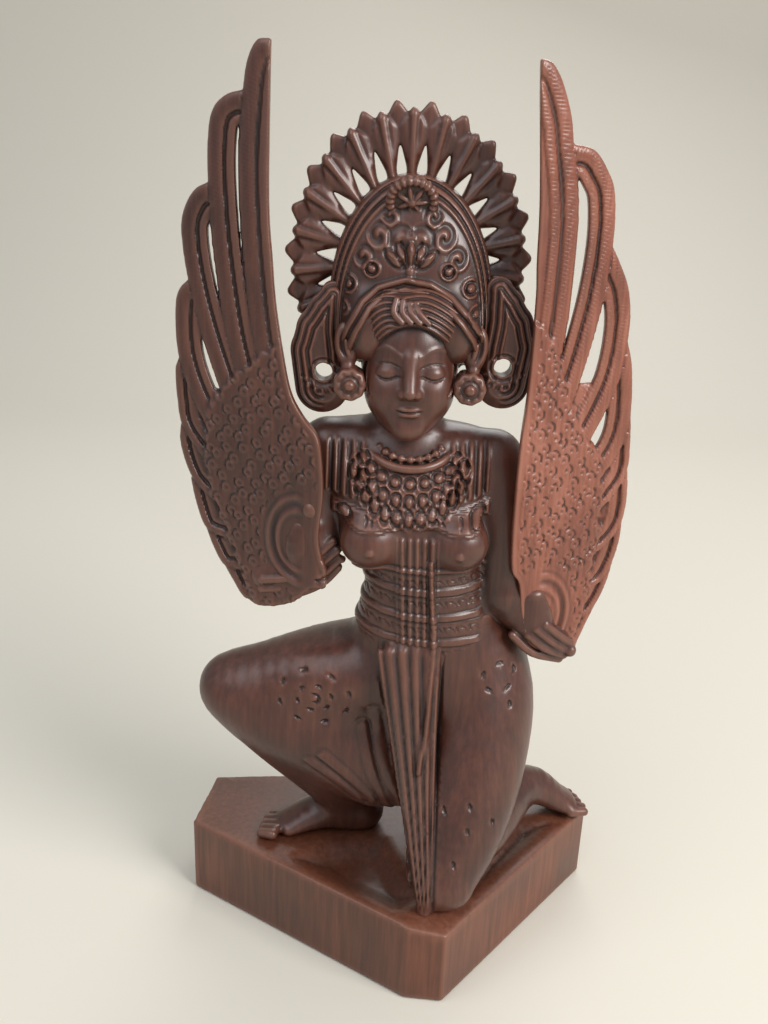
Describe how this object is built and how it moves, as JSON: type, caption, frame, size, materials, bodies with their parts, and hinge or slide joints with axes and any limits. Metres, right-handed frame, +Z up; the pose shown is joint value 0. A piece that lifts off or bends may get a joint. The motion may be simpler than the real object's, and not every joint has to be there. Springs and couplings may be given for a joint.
{
  "type": "legong dancer figure",
  "caption": "Kneeling winged dancer carved with its plinth from one block of dark hardwood, with a fan-shaped crown and a long pleated sash.",
  "frame": {"origin": "on the plinth's underside, near its middle", "axes": "+Z up, the dancer faces -Y, +X is the viewer's right when facing the dancer"},
  "size_m": [0.1552, 0.0925, 0.3015],
  "materials": {
    "carved_wood": "waxed, satin"
  },
  "bodies": {
    "root": {"legong_dancer_figure": "carved_wood"}
  },
  "joints": []
}
